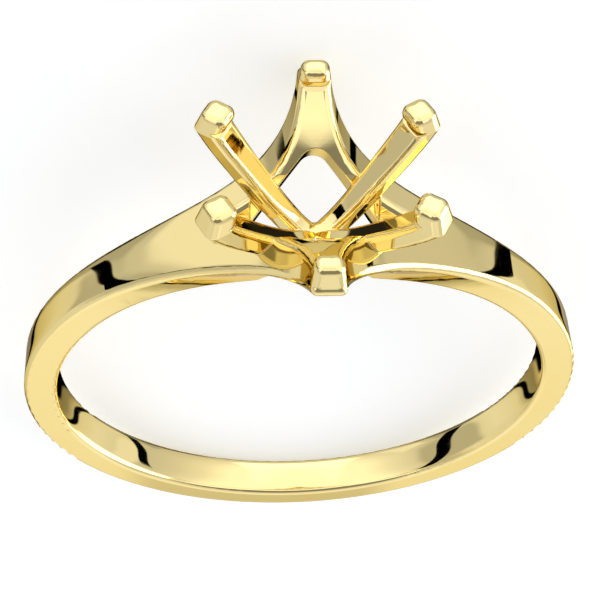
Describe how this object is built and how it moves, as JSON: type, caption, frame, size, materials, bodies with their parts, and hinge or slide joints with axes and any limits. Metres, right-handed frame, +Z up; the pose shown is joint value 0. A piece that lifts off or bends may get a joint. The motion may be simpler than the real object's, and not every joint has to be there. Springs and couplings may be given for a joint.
{
  "type": "six-prong solitaire engagement ring setting without its stone",
  "caption": "Plain yellow gold ring band rising into an open flared head with pointed openings and block claws around an empty seat for a round stone.",
  "frame": {"origin": "bottom centre of the ring as it lies on a surface, head end raised on its far prong", "axes": "+Z up from the surface, +Y from the band's foot toward the head, +X across the ring"},
  "size_m": [0.019, 0.0226, 0.0076],
  "materials": {
    "gold": "mirror-polished yellow gold"
  },
  "bodies": {
    "root": {"ring_mount": "gold"}
  },
  "joints": []
}
